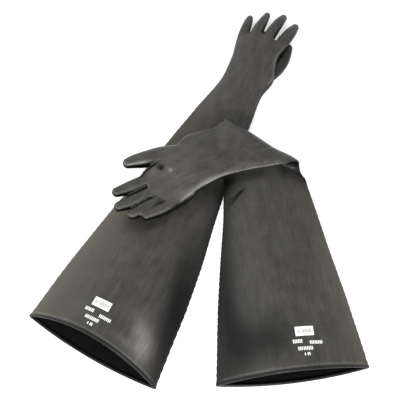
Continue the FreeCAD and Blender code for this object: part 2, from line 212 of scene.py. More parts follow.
class Place:
    """A frame of its own: an origin in millimetres and three axes."""

    def __init__(self, origin, along, up):
        self.o = np.array(origin, float)
        self.y = np.array(along, float)
        self.z = np.array(up, float)
        self.x = np.cross(self.y, self.z)
        self.m = np.array([self.x, self.y, self.z])

    def out(self, p):
        return np.asarray(p, float) @ self.m + self.o

    def back(self, p):
        return (np.asarray(p, float) - self.o) @ self.m.T


# The cuff mounts lie outside the cuff line, and this high over the floor
MOUNT_OUT = 11.0
MOUNT_HEIGHT = {"left": 39.0, "right": 33.0}


def cuff_frame(side):
    mount = MOUNTS[f"{side}_cuff"]
    along = -np.array(mount["axis"])
    origin = np.array(mount["pos_m"]) / MM + MOUNT_OUT * along - (0, 0, MOUNT_HEIGHT[side])
    return Place(origin, along, (0, 0, 1))


LEFT = cuff_frame("left")
RIGHT = cuff_frame("right")

# The fold's frame: X along the fold line, Y over it, Z up
unfold = JOINTS["right_unfold"]
fold_x = -np.array(unfold["axis"])
FOLD = Place(np.array(unfold["pos_m"]) / MM, np.cross((0, 0, 1), fold_x), (0, 0, 1))
FOLD_MID = 13.0  # the skin's length round the fold is pi times this

# The right hand's frame: Y from HAND_START along the glove, Z down, since the palm is up
WRIST_IN_HAND = (-12.5, -4.0, 21.0)  # the CAD's wrist axis in that frame
wrist = JOINTS["right_wrist_bend"]
hand_x = -np.array(wrist["axis"])
hand_y = np.cross((0, 0, -1), hand_x)
HAND = Place((0, 0, 0), hand_y, (0, 0, -1))
HAND.o = np.array(wrist["pos_m"]) / MM - np.array(WRIST_IN_HAND) @ HAND.m
HAND_START = 636.0
LIFT = 16.0  # how far the right glove is raised where it lies on the left one
HAND_DROP = 6.0  # the hand is laid this much lower than its frame puts it
ARM_DROP = 8.0  # and the arm lower still by this much

# The right sleeve bows sideways, and is nicked at its outer edge beside the fold
BOW_START, BOW_LENGTH, BOW = 250.0, 260.0, 0.00006
NICK_AT, NICK_LENGTH, NICK = 404.0, 12.0, 8.0


# ---------------------------------------------------------------- mesh tools
def new_mesh(name, points, faces):
    mesh = bpy.data.meshes.new(name)
    mesh.from_pydata([tuple(p) for p in points], [], [tuple(f) for f in faces])
    mesh.update()
    return mesh


def new_object(name, mesh):
    obj = bpy.data.objects.new(name, mesh)
    bpy.context.scene.collection.objects.link(obj)
    return obj


def smooth_table(table, at):
    """Values of a section table at the given distances along the glove."""
    table = np.array(table, float)
    fine = np.arange(table[0, 0], table[-1, 0] + 1, 2.0)
    out = []
    for column in range(1, table.shape[1]):
        values = np.interp(fine, table[:, 0], table[:, column])
        for _ in range(60):
            values[1:-1] = 0.5 * values[1:-1] + 0.25 * (values[2:] + values[:-2])
        out.append(np.interp(at, fine, values))
    return out


def section_ring(centre, half, base, rise, power, low, count):
    """Outline of a section: a flattish underside and a round top."""
    angle = np.linspace(0, 2 * np.pi, count, endpoint=False)
    c, s = np.cos(angle), np.sin(angle)
    round_off = np.where(np.asarray(base) > 8, 0.9, 1.0)
    x = centre + half * np.sign(c) * np.abs(c) ** round_off
    top = base + (rise - base) * np.abs(s) ** power
    under = low + (base - low) * (1 - np.abs(s) ** 0.6)
    return x, np.where(s >= 0, top, under)


def body_of_sections(table):
    """Closed loft through the sections of a glove."""
    at = np.arange(table[0][0], table[-1][0] + 0.1, SECTION_STEP)
    values = smooth_table(table, at)
    points = []
    count = RING
    for number, y in enumerate(at):
        x, z = section_ring(*[v[number] for v in values], count)
        points.append(np.stack([x, np.full(count, y), z], 1))
    points = np.concatenate(points)
    faces = []
    for ring in range(len(at) - 1):
        for k in range(count):
            a = ring * count + k
            b = ring * count + (k + 1) % count
            faces.append((a, b, b + count, a + count))
    faces.append(tuple(reversed(range(count))))
    faces.append(tuple(range((len(at) - 1) * count, len(at) * count)))
    return points, faces


def hull_of_balls(first, second):
    """Convex skin round two balls."""
    bands, around = 12, 20
    directions = []
    for band in range(1, bands):
        tilt = np.pi * band / bands
        for k in range(around):
            turn = 2 * np.pi * k / around
            out = math.sin(tilt)
            directions.append((out * math.cos(turn), out * math.sin(turn), math.cos(tilt)))
    directions += [(0, 0, 1), (0, 0, -1)]
    work = bmesh.new()
    for ball in (first, second):
        for d in directions:
            work.verts.new(Vector(ball[:3]) + Vector(d) * ball[3])
    result = bmesh.ops.convex_hull(work, input=work.verts[:])
    loose = {v for v in result["geom_interior"] if isinstance(v, bmesh.types.BMVert)}
    bmesh.ops.delete(work, geom=list(loose), context="VERTS")
    work.verts.index_update()
    points = [tuple(v.co) for v in work.verts]
    faces = [tuple(v.index for v in f.verts) for f in work.faces]
    work.free()
    return points, faces


def curved_chain(chain):
    """The chain's balls with extra ones between, along a smooth curve."""
    chain = np.array(chain, float)
    if len(chain) < 3:
        return chain
    padded = np.vstack([2 * chain[0] - chain[1], chain, 2 * chain[-1] - chain[-2]])
    out = []
    for k in range(1, len(padded) - 2):
        a, b, c, d = padded[k - 1:k + 3]
        for t in (0.0, 0.25, 0.5, 0.75):
            out.append(0.5 * (2 * b + (c - a) * t + (2 * a - 5 * b + 4 * c - d) * t ** 2
                              + (3 * b - a - 3 * c + d) * t ** 3))
    out.append(chain[-1])
    return np.array(out)


def join(parts):
    points, faces, start = [], [], 0
    for p, f in parts:
        points.append(np.asarray(p, float))
        faces += [tuple(start + i for i in face) for face in f]
        start += len(p)
    return np.concatenate(points), faces


def remesh(points, faces, voxel):
    """One even skin round overlapping closed shapes."""
    mesh = new_mesh("work", points, faces)
    obj = new_object("work", mesh)
    mod = obj.modifiers.new("skin", "REMESH")
    mod.mode = "VOXEL"
    mod.voxel_size = voxel
    depsgraph = bpy.context.evaluated_depsgraph_get()
    made = obj.evaluated_get(depsgraph).to_mesh()
    count = len(made.vertices)
    out = np.empty(count * 3)
    made.vertices.foreach_get("co", out)
    quads = np.array([tuple(p.vertices) for p in made.polygons], int)
    obj.evaluated_get(depsgraph).to_mesh_clear()
    bpy.data.objects.remove(obj)
    bpy.data.meshes.remove(mesh)
    return out.reshape(-1, 3), quads


def relax(points, quads, times, keep=None):
    """Smooths a skin without shrinking it."""
    a = quads.ravel()
    b = np.roll(quads, -1, axis=1).ravel()
    first = np.concatenate([a, b])
    second = np.concatenate([b, a])
    degree = np.bincount(first, minlength=len(points)).astype(float)
    degree[degree == 0] = 1
    points = points.copy()
    for _ in range(times):
        for factor in (0.6, -0.62):
            mean = np.stack(
                [np.bincount(first, points[second, k], len(points)) / degree for k in range(3)], 1
            )
            move = factor * (mean - points)
            if keep is not None:
                move *= keep[:, None]
            points += move
    return points


def normals_of(points, quads):
    d1 = points[quads[:, 2]] - points[quads[:, 0]]
    d2 = points[quads[:, 3]] - points[quads[:, 1]]
    face = np.cross(d1, d2)
    out = np.stack(
        [np.bincount(quads.ravel(), np.repeat(face[:, k], 4), len(points)) for k in range(3)], 1
    )
    length = np.linalg.norm(out, axis=1)
    length[length == 0] = 1
    return out / length[:, None]


def step01(value, low, high):
    """A soft step from 0 at low to 1 at high."""
    t = np.clip((value - low) / (high - low), 0, 1)
    return t * t * (3 - 2 * t)


def bell(value, middle, width):
    """1 at the middle, falling away softly on both sides."""
    return np.exp(-((value - middle) / width) ** 2)


def waves(x, y, seed, count, size, stretch):
    """Soft bumps from a sum of seeded sine waves, between about -1 and 1."""
    rng = np.random.default_rng(seed)
    out = np.zeros_like(x)
    for _ in range(count):
        turn = rng.uniform(0, 2 * np.pi)
        scale = 2 * np.pi / (size * rng.uniform(0.6, 1.7))
        phase = rng.uniform(0, 2 * np.pi)
        out += np.sin(scale * (x * math.cos(turn) + y * math.sin(turn) / stretch) + phase)
    return out / math.sqrt(count * 2)


def rim_along(x, z, side):
    """Where the cuff rim is along the glove: an arc across, leaning back with height."""
    arc = APEX - np.sqrt(RIM[side] ** 2 - x ** 2)
    return arc - RIM_TILT[side] * x + RIM_LEAN[side] * z


def glove_skin(side, table, chains):
    """Rest skin of one glove in its own frame, open at the cuff rim."""
    parts = [body_of_sections(table)]
    for chain in chains.values():
        balls = curved_chain(chain)
        parts += [hull_of_balls(a, b) for a, b in zip(balls[:-1], balls[1:])]
    points, quads = remesh(*join(parts), VOXEL)
    points = relax(points, quads, 5)
    points = relax(points, quads, 9, 1 - step01(points[:, 1], 560, 640))
    back_of_hand = step01(points[:, 1], 600, 680) * (1 - step01(points[:, 1], 718, 748))
    points = relax(points, quads, 14, back_of_hand)
    past_rim = points[:, 1] - rim_along(points[:, 0], points[:, 2], side)
    keep = (past_rim[quads] > -1.0).any(axis=1)
    quads = quads[keep]
    used = np.unique(quads)
    remap = np.full(len(points), -1)
    remap[used] = np.arange(len(used))
    points = points[used]
    quads = remap[quads]
    rim = rim_along(points[:, 0], points[:, 2], side)
    points[:, 1] = np.maximum(points[:, 1], rim)
    return points, quads


# ---------------------------------------------------------------- placing the right glove
def flat_right(p):
    """The right glove laid out flat: a mirror image, bowed, and nicked beside the fold."""
    out = p * (-1.0, 1.0, 1.0)
    past = np.maximum(out[:, 1] - BOW_START, 0.0)
    out[:, 0] -= BOW * np.minimum(past, BOW_LENGTH) ** 2
    outer = step01(out[:, 0], 20, 70)
    out[:, 0] -= NICK * outer * bell(out[:, 1], NICK_AT, NICK_LENGTH)
    return RIGHT.out(out)


def fold_over(flat):
    """Rolls the flat glove over the fold line. Gives also where each point was, in the
    fold's frame, and how far past the roll it is."""
    local = FOLD.back(flat)
    level = FOLD.o[2] - LIFT
    height = flat[:, 2]
    ahead = local[:, 1]
    turn = np.clip(ahead / FOLD_MID, 0, np.pi)
    before = np.minimum(ahead, 0)
    beyond = np.maximum(ahead - np.pi * FOLD_MID, 0)
    left_end = 1 - step01(local[:, 0], -112, -36)
    tip = 1 - step01(local[:, 0], -112, -80)
    right_end = step01(local[:, 0], 30, 90)
    rolled = step01(turn, 0.0, 1.2)
    upper_layer = step01(turn, 1.2, 2.6) * (1 - step01(beyond, 5, 60))
    # The roll reaches further out at both ends, and is thinner at its left end
    stretch = 1 + 0.28 * right_end + 0.22 * left_end + 0.25 * tip
    swell = 1 + (0.12 * right_end - 0.42 * left_end) * rolled
    out_to = level - height * (1 - 0.8 * tip)
    over = before + out_to * stretch * np.sin(turn) - beyond
    z = swell * (level - (level - height) * np.cos(turn))
    across = local[:, 0] + left_end * (7 * rolled + 17 * upper_layer) - 6 * right_end * rolled
    folded = FOLD.out(np.stack([across, over, z - FOLD.o[2]], 1))
    return folded, local, beyond


def raised(x, y):
    """How much of the lift the right glove has at a place seen from above, from 0 to 1."""
    inner = 1 - step01(x, 105.0, 185.0)
    rise = step01(y, -130.0, 25.0) * (0.35 + 0.65 * inner)
    on_left_glove = step01(-x, -60.0, 0.0)
    return np.where(x < 60, np.maximum(rise, on_left_glove), rise)


def lay_right(p):
    """Folds the flat right glove over and turns its hand to where it lies."""
    folded, local, beyond = fold_over(flat_right(p))
    target = HAND.out(p * (-1.0, 1.0, 1.0) - (0.0, HAND_START, 0.0)) - (0, 0, LIFT)
    target[:, 2] -= HAND_DROP + ARM_DROP * (1 - step01(p[:, 1], 560, 680))
    reach = 74.0 + 24.0 * step01(local[:, 0], -105.0, -70.0)
    weight = step01(beyond / reach, 0.0, 1.0)[:, None]
    out = folded * (1 - weight) + target * weight
    out[:, 2] += LIFT * raised(out[:, 0], out[:, 1])
    return out, local


def right_local(p):
    return lay_right(np.asarray(p, float))[0]


def right_cuff_place(p):
    return RIGHT.out(np.asarray(p) * (-1.0, 1.0, 1.0))


# ---------------------------------------------------------------- dents
def dents_left(p):
    x, y, z = p.T
    sleeve = step01(y, -20, 90) * (1 - step01(y, 560, 640))
    hand = step01(y, 420, 560) * (1 - step01(y, 690, 730))
    out = 1.1 * waves(x, y, seed=3, count=14, size=90.0, stretch=3.0) * sleeve
    out += 0.5 * waves(x, y, seed=8, count=12, size=34.0, stretch=1.5) * hand
    return out * step01(z, 5, 25)


def crease(x, y):
    """Nearness to the pinched crease, from 0 to 1."""
    (ax, ay), (bx, by) = CREASE_ENDS
    dx, dy = bx - ax, by - ay
    t = np.clip(((x - ax) * dx + (y - ay) * dy) / (dx ** 2 + dy ** 2), 0, 1)
    gap = np.hypot(x - ax - t * dx, y - ay - t * dy)
    return np.exp(-(gap / (CREASE_WIDTH * (0.45 + 1.1 * t))) ** 4)


def dents_right(p):
    x, y, z = p.T
    sleeve = step01(y, -20, 90) * (1 - step01(y, 380, 470))
    near_fold = step01(y, 290, 360) * (1 - step01(y, 440, 480))
    hand = step01(y, 500, 560) * (1 - step01(y, 690, 720))
    out = 1.0 * waves(x, y, seed=21, count=14, size=90.0, stretch=3.0) * sleeve
    out += 1.6 * waves(x, y, seed=33, count=12, size=46.0, stretch=0.8) * near_fold
    out = (out - CREASE_DEPTH * crease(x, y)) * step01(z, 4, 16)
    out += 0.6 * waves(x, y, seed=41, count=12, size=40.0, stretch=1.6) * hand
    palm = 1 - step01(z, 12, 24)
    for cx, cy, rx, ry, rise in PALM_DENTS:
        out += rise * bell(x, cx, rx) * bell(y, cy, ry) * palm
    return out


# ---------------------------------------------------------------- shading of the skins
def light_and_shade_patches(x, y, table):
    """Sum of soft patches of painted light and shade laid on the rubber."""
    out = np.zeros_like(x)
    for cx, cy, rx, ry, slant, strength in table:
        out += strength * bell(x - slant * (y - cy), cx, rx) * bell(y, cy, ry)
    return out


def painted_side_shade(normals, along):
    """Painted shade: the sides of the fingers and arms are dark, on the hand most where turned from
    the key lamp.
    """
    hand = step01(along, 540, 680)
    away_from_light = np.clip(0.8 * normals[:, 0] - 0.6 * normals[:, 1], 0, 1)
    flat = np.abs(normals[:, 2]) - 0.2 * away_from_light * hand
    side_shade = 0.34 * (1 - hand) + 0.08 * hand
    return side_shade + (1 - side_shade) * step01(flat, 0.08 + 0.27 * hand, 0.36 + 0.36 * hand)


def edge_place(x, y):
    """Place across the tapering sleeve, 0 at one edge and 1 at the other."""
    half = SLEEVE_HALF - SLEEVE_TAPER * y
    return (x + half) / (2 * half)


def hem_highlight(x, y, z, side):
    """Painted highlight: the light line where the skin runs into the bead."""
    return 1.1 * bell(y - rim_along(x, z, side), 4, 2.4) * step01(z, 5, 20)


def left_looks(rest, nrm):
    """How brown the left skin is, and its painted light and shade."""
    x, y, z = rest.T
    edge = edge_place(x, y)
    tint = 0.12 + 0.55 * (1 - step01(edge, 0.05, 0.4)) * (1 - step01(y, 480, 620))
    # Painted shade along the sleeve's thumb-side edge
    shaded_edge = step01(edge, 0.80, 0.97) * (1 - step01(y, 380, 460))
    shade = painted_side_shade(nrm, y) * (1 - 0.66 * shaded_edge) * (1 + light_and_shade_patches(x, y, LEFT_PAINTED_LIGHT))
    shade += hem_highlight(x, y, z, "left")
    # Painted highlight: a light line runs down the thumb side of the hand
    thumb_side_highlight = step01(x, 18, 30) * step01(y, 636, 655) * (1 - step01(y, 722, 745))
    shade += 1.5 * bell(np.abs(nrm[:, 2]), 0.62, 0.16) * thumb_side_highlight
    return tint, shade


def right_looks(rest, nrm, fold):
    """The same for the right skin, most of whose hand is seen from the palm side."""
    x, y, z = rest.T
    across, ahead = fold[:, 0], fold[:, 1]
    edge = edge_place(-x, y)
    tint = 0.10 + 0.35 * step01(edge, 0.8, 1.0) * (1 - step01(y, 380, 430))
    tint += 0.8 * bell(x, 26, 9) * bell(y, 738, 16)
    # Painted shade along the sleeve's thumb-side edge
    shaded_edge = (1 - step01(edge, 0.03, 0.17)) * (1 - step01(y, 400, 480))
    shade = painted_side_shade(nrm, y) * (1 - 0.66 * shaded_edge) * (1 + light_and_shade_patches(x, y, RIGHT_PAINTED_LIGHT))
    shade += hem_highlight(x, y, z, "right")
    up = nrm[:, 2] > 0
    front = nrm[:, 1] < 0
    # Painted shade in the gaps between the fingers
    shade *= 1 - 0.96 * step01(z, 6.4, 9.6) * step01(y, 700, 730) * up
    # Painted shade in the dent beside the thumb and a painted highlight on the bump next to it
    for cx, cy, reach, strength in PALM_LIGHT_AND_SHADE:
        shade *= 1 + strength * bell(np.hypot(x - cx, y - cy), 0, reach) * step01(y, 640, 660)
    # Painted highlights along the near edge of the arm and hand, and on the near sides of the fingers
    half = np.interp(y, [400, 520, 590, 650, 700], [84, 70, 48, 44, 50])
    near_edge_highlight = step01(-x, 12, 30) * step01(-x / half, 0.66, 0.86)
    near_edge_highlight *= step01(y, 430, 470) * (1 - step01(y, 700, 730))
    shade += 3.4 * bell(nrm[:, 2], 0.80, 0.14) * front * up * near_edge_highlight
    finger_highlight = (1.3 + 1.7 * step01(x, 30, 44)) * step01(y, 724, 748)
    shade += finger_highlight * bell(nrm[:, 2], 0.76, 0.11) * front * up
    # Shadow in the roll, in the crease, and in the hollow at the fold's right end
    shade *= 1 - 0.7 * bell(ahead, 19, 9)
    shade *= 1 - 0.93 * crease(x, y) * step01(z, 5, 10)
    shade *= 1 - 0.95 * step01(z, 1, 4) * bell(ahead, 12, 19) * step01(across, 52, 72)
    return tint, shade


# ---------------------------------------------------------------- materials
class Nodes:
    """A material and its node tree."""

    def __init__(self, name):
        self.mat = bpy.data.materials.new(name)
        self.mat.use_nodes = True
        self.tree = self.mat.node_tree
        self.shader = self.tree.nodes["Principled BSDF"]

    def add(self, kind, **values):
        node = self.tree.nodes.new(kind)
        for key, value in values.items():
            if hasattr(node, key):
                setattr(node, key, value)
            else:
                node.inputs[key.replace("_", " ")].default_value = value
        return node

    def link(self, source, target):
        self.tree.links.new(source, target)


def skin_coordinates(nodes, scale):
    """The skin's own flat coordinates, so that the pattern bends with the glove."""
    place = nodes.add("ShaderNodeAttribute", attribute_name="skin_place")
    mapping = nodes.add("ShaderNodeMapping")
    mapping.inputs["Scale"].default_value = scale
    nodes.link(place.outputs["Vector"], mapping.inputs["Vector"])
    return mapping.outputs["Vector"]


def ramp(nodes, source, stops):
    node = nodes.add("ShaderNodeValToRGB")
    elements = node.color_ramp.elements
    while len(elements) < len(stops):
        elements.new(0.5)
    for element, (at, colour) in zip(elements, stops):
        element.position = at
        element.color = (*colour, 1)
    nodes.link(source, node.inputs["Fac"])
    return node.outputs["Color"]


def rubber(name, dark, light, warm, roughness, gloss=0.18):
    """Powdered black rubber: mottled, with long streaks and a brown tint, times the painted light and
    shade in skin_shade.
    """
    n = Nodes(name)
    mottle = n.add("ShaderNodeTexNoise", Scale=1.0, Detail=5.0, Roughness=0.62)
    n.link(skin_coordinates(n, (0.055, 0.03, 0.05)), mottle.inputs["Vector"])
    streak = n.add("ShaderNodeTexNoise", Scale=1.0, Detail=4.0, Roughness=0.6)
    n.link(skin_coordinates(n, (0.22, 0.012, 0.1)), streak.inputs["Vector"])
    speck = n.add("ShaderNodeTexNoise", Scale=1.0, Detail=3.0, Roughness=0.7)
    n.link(skin_coordinates(n, (0.9, 0.6, 0.9)), speck.inputs["Vector"])
    both = n.add("ShaderNodeMix", data_type="FLOAT")
    both.inputs[0].default_value = 0.4
    n.link(mottle.outputs["Fac"], both.inputs[2])
    n.link(streak.outputs["Fac"], both.inputs[3])
    more = n.add("ShaderNodeMix", data_type="FLOAT")
    more.inputs[0].default_value = 0.25
    n.link(both.outputs[0], more.inputs[2])
    n.link(speck.outputs["Fac"], more.inputs[3])
    base = ramp(n, more.outputs[0], [(0.36, dark), (0.64, light)])
    tint = n.add("ShaderNodeAttribute", attribute_name="skin_tint")
    mixed = n.add("ShaderNodeMix", data_type="RGBA", blend_type="MIX")
    n.link(tint.outputs["Fac"], mixed.inputs[0])
    n.link(base, mixed.inputs[6])
    mixed.inputs[7].default_value = (*warm, 1)
    shade = n.add("ShaderNodeAttribute", attribute_name="skin_shade")
    darker = n.add("ShaderNodeMix", data_type="RGBA", blend_type="MULTIPLY")
    darker.inputs[0].default_value = 1.0
    n.link(mixed.outputs[2], darker.inputs[6])
    n.link(shade.outputs["Fac"], darker.inputs[7])
    n.link(darker.outputs[2], n.shader.inputs["Base Color"])
    rough = n.add("ShaderNodeMapRange")
    rough.inputs["From Min"].default_value = 0.35
    rough.inputs["From Max"].default_value = 0.65
    rough.inputs["To Min"].default_value = roughness - 0.06
    rough.inputs["To Max"].default_value = roughness + 0.08
    n.link(more.outputs[0], rough.inputs["Value"])
    n.link(rough.outputs["Result"], n.shader.inputs["Roughness"])
    lumps = n.add("ShaderNodeBump", Strength=0.35, Distance=0.0006)
    n.link(more.outputs[0], lumps.inputs["Height"])
    n.link(lumps.outputs["Normal"], n.shader.inputs["Normal"])
    n.shader.inputs["Specular IOR Level"].default_value = gloss
    return n.mat


def ink(name, colour):
    n = Nodes(name)
    patch = n.add("ShaderNodeTexNoise", Scale=1.0, Detail=6.0, Roughness=0.75)
    n.link(skin_coordinates(n, (0.5, 0.5, 0.5)), patch.inputs["Vector"])
    worn = tuple(c * 0.72 for c in colour)
    mottled = ramp(n, patch.outputs["Fac"], [(0.3, worn), (0.55, colour)])
    n.link(mottled, n.shader.inputs["Base Color"])
    n.shader.inputs["Roughness"].default_value = 0.7
    n.shader.inputs["Specular IOR Level"].default_value = 0.3
    return n.mat


SKIN = rubber(
    "black_rubber", dark=(0.021, 0.021, 0.020), light=(0.056, 0.0555, 0.0535),
    warm=(0.068, 0.056, 0.040), roughness=0.36,
)
# The inside is a near-black copy of the rubber: painted shade inside the glove
SHADED_LINING = rubber(
    "black_rubber_inside_painted_shade", dark=(0.003, 0.003, 0.003), light=(0.007, 0.007, 0.0066),
    warm=(0.006, 0.006, 0.005), roughness=0.8, gloss=0.06,
)
# The bead is a darker copy of the rubber: painted shade along the hem
SHADED_BEAD_RUBBER = rubber(
    "black_rubber_bead_painted_shade", dark=(0.007, 0.007, 0.007), light=(0.013, 0.013, 0.012),
    warm=(0.012, 0.011, 0.009), roughness=0.34,
)
WHITE = ink("print_white", (0.84, 0.84, 0.82))
GREY = ink("print_grey", (0.16, 0.16, 0.15))


# ---------------------------------------------------------------- pieces
def piece(name, points, quads, keep, normals, place, tint, shade, material, lining=False):
    """A piece of the skin, with the whole skin's normals so that no seam shows."""
    quads = quads[keep]
    used = np.unique(quads)
    remap = np.full(len(points), -1)
    remap[used] = np.arange(len(used))
    p, nrm, at = points[used], normals[used], place[used]
    t, s = tint[used], shade[used]
    faces = remap[quads]
    slots = np.zeros(len(faces), int)
    if lining:
        count = len(p)
        p = np.concatenate([p, p - WALL * nrm])
        nrm = np.concatenate([nrm, -nrm])
        at = np.concatenate([at, at])
        t = np.concatenate([t, t])
        s = np.concatenate([s, np.ones_like(s)])
        faces = np.concatenate([faces, faces[:, ::-1] + count])
        slots = np.concatenate([slots, np.ones(len(slots), int)])
    mesh = bpy.data.meshes.new(name)
    mesh.vertices.add(len(p))
    mesh.vertices.foreach_set("co", (p * MM).ravel())
    mesh.loops.add(len(faces) * 4)
    mesh.loops.foreach_set("vertex_index", faces.ravel())
    mesh.polygons.add(len(faces))
    mesh.polygons.foreach_set("loop_start", np.arange(0, len(faces) * 4, 4))
    mesh.materials.append(material)
    if lining:
        mesh.materials.append(SHADED_LINING)
    mesh.update(calc_edges=True)
    mesh.validate()
    mesh.polygons.foreach_set("material_index", slots)
    mesh.polygons.foreach_set("use_smooth", np.ones(len(faces), bool))
    skin_place = mesh.attributes.new("skin_place", "FLOAT_VECTOR", "POINT")
    skin_place.data.foreach_set("vector", at.ravel())
    mesh.attributes.new("skin_tint", "FLOAT", "POINT").data.foreach_set("value", t)
    mesh.attributes.new("skin_shade", "FLOAT", "POINT").data.foreach_set("value", s)
    mesh.normals_split_custom_set_from_vertices([tuple(v) for v in nrm])
    return new_object(name, mesh)


def tube(name, ring, radius, material):
    """Closed round tube along a ring of points."""
    ring = np.asarray(ring)
    ahead = np.roll(ring, -1, 0) - np.roll(ring, 1, 0)
    ahead /= np.linalg.norm(ahead, axis=1)[:, None]
    up = np.tile((0.0, 0.0, 1.0), (len(ring), 1))
    side = np.cross(ahead, up)
    side /= np.linalg.norm(side, axis=1)[:, None]
    up = np.cross(side, ahead)
    count = BEAD_SIDES
    points, nrm, faces = [], [], []
    for k in range(count):
        a = 2 * np.pi * k / count
        d = math.cos(a) * side + math.sin(a) * up
        points.append(ring + radius * d)
        nrm.append(d)
    points = np.concatenate(points)
    nrm = np.concatenate(nrm)
    n = len(ring)
    for k in range(count):
        for i in range(n):
            j = (i + 1) % n
            k2 = (k + 1) % count
            faces.append((k * n + i, k * n + j, k2 * n + j, k2 * n + i))
    faces = np.array(faces)
    if (normals_of(points, faces) * nrm).sum() < 0:
        faces = faces[:, ::-1]
    every = np.ones(len(faces), bool)
    zero = np.zeros(len(points))
    return piece(name, points, faces, every, nrm, points, zero, zero + 1, material)


def rim_ring(side, table):
    """The line of the cuff rim in the glove's own frame."""
    count = BEAD_POINTS
    ys = np.zeros(count)
    for _ in range(6):
        x, z = section_ring(*smooth_table(table, ys), count)
        ys = rim_along(x, z, side)
    ring = np.stack([x, ys, z], 1)
    gap = np.linalg.norm(np.roll(ring, -1, 0) - ring, axis=1)
    total = np.concatenate([[0], np.cumsum(gap)])
    wanted = np.linspace(0, total[-1], count, endpoint=False)
    closed = np.vstack([ring, ring[:1]])
    ring = np.stack([np.interp(wanted, total, closed[:, k]) for k in range(3)], 1)
    for _ in range(3):
        ring = 0.5 * ring + 0.25 * (np.roll(ring, 1, 0) + np.roll(ring, -1, 0))
    ring[:, 2] = np.maximum(ring[:, 2], BEAD - BEAD_SINK)
    ring[:, 1] -= BEAD_OUT
    return ring


def patch(name, rects, to_world, tree, material, lift):
    """Thin printed marks that follow the skin. A rectangle is along, across, length, width."""
    points, faces, place, nrm = [], [], [], []
    for along, across, length, width in rects:
        nx = max(1, int(width / 2.0))
        ny = max(2, int(length / 1.6))
        start = len(points)
        for j in range(ny + 1):
            for i in range(nx + 1):
                local = np.array([[across + width * i / nx, along + length * j / ny, RAY_START]])
                world = to_world(local)[0]
                hit, normal, _, _ = tree.ray_cast(Vector(world), Vector((0, 0, -1)))
                points.append(np.array(hit) + lift * np.array(normal))
                nrm.append(np.array(normal))
                place.append(local[0])
        for j in range(ny):
            for i in range(nx):
                a = start + j * (nx + 1) + i
                faces.append((a, a + 1, a + nx + 2, a + nx + 1))
    points = np.array(points)
    nrm = np.array(nrm)
    faces = np.array(faces)
    if normals_of(points, faces)[:, 2].mean() < 0:
        faces = faces[:, ::-1]
    every = np.ones(len(faces), bool)
    zero = np.zeros(len(points))
    return piece(name, points, faces, every, nrm, np.array(place), zero, zero + 1, material)


def stall_split(points, chains, names, starts):
    """Which stall each point belongs to, from the nearest chain, or -1."""
    owner = np.full(len(points), -1)
    best = np.full(len(points), np.inf)
    for number, name in enumerate(names):
        balls = curved_chain(chains[name])
        distance = np.full(len(points), np.inf)
        for a, b in zip(balls[:-1], balls[1:]):
            d = b[:3] - a[:3]
            t = np.clip(((points - a[:3]) @ d) / (d @ d), 0, 1)
            radius = a[3] + (b[3] - a[3]) * t
            gap = np.linalg.norm(points - a[:3] - t[:, None] * d, axis=1) - radius
            distance = np.minimum(distance, gap)
        inside = points[:, 1] > starts[name]
        closer = inside & (distance < best)
        owner[closer] = number
        best = np.where(inside, np.minimum(best, distance), best)
    return owner


def quads_of(owner, quads, number):
    return (owner[quads] == number).all(axis=1)


def stall_blend(obj, chain, start, to_world):
    """Works out the two ends of a stall's bend, which nothing uses, and bakes the piece's transform.
    """
    balls = curved_chain(chain)
    end = start + STALL_BEND
    low = np.array([np.interp(start, balls[:, 1], balls[:, k]) for k in (0, 1, 2)])
    high = np.array([np.interp(end, balls[:, 1], balls[:, k]) for k in (0, 1, 2)])
    a, b = to_world(np.array([low, high])) * MM
    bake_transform(obj)


def finish_piece(node):
    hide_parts(node)


def cuff_bead(side, to_world, table):
    ring = to_world(rim_ring(side, table))
    obj = tube(f"{side}_bead", ring, BEAD, SHADED_BEAD_RUBBER)
    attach(obj, f"{side}_sleeve")
    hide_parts(f"{side}_cuff_bead")


def ticks(corner, rows, width, step):
    """Rectangles for rows of upright ticks, placed from a corner of the block."""
    rects = []
    for across, along, height, number in rows:
        for k in range(number):
            rects.append((corner[1] + along, corner[0] + across + k * step, height, width))
    return rects


def decals(side, to_world, world, quads):
    tree = BVHTree.FromPolygons([tuple(p) for p in world], [tuple(f) for f in quads])
    corner = BLOCK_AT[side]
    whole = [(corner[1], corner[0], BLOCK[1], BLOCK[0])]
    inner_ticks = ticks(corner, BLOCK_TICKS, BLOCK_TICK, BLOCK_TICK_STEP)
    outer_ticks = ticks(corner, TICK_ROWS, TICK, TICK_STEP)
    block = patch(f"{side}_print_block", whole, to_world, tree, WHITE, INK)
    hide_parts(f"{side}_print")
    inner = patch(f"{side}_print_pattern", inner_ticks, to_world, tree, GREY, INK_ON_INK)
    outer = patch(f"{side}_print_ticks", outer_ticks, to_world, tree, WHITE, INK)
    for obj in (block, inner, outer):
        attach(obj, f"{side}_sleeve")


FINGERS = ["index_finger", "middle_finger", "ring_finger", "little_finger"]


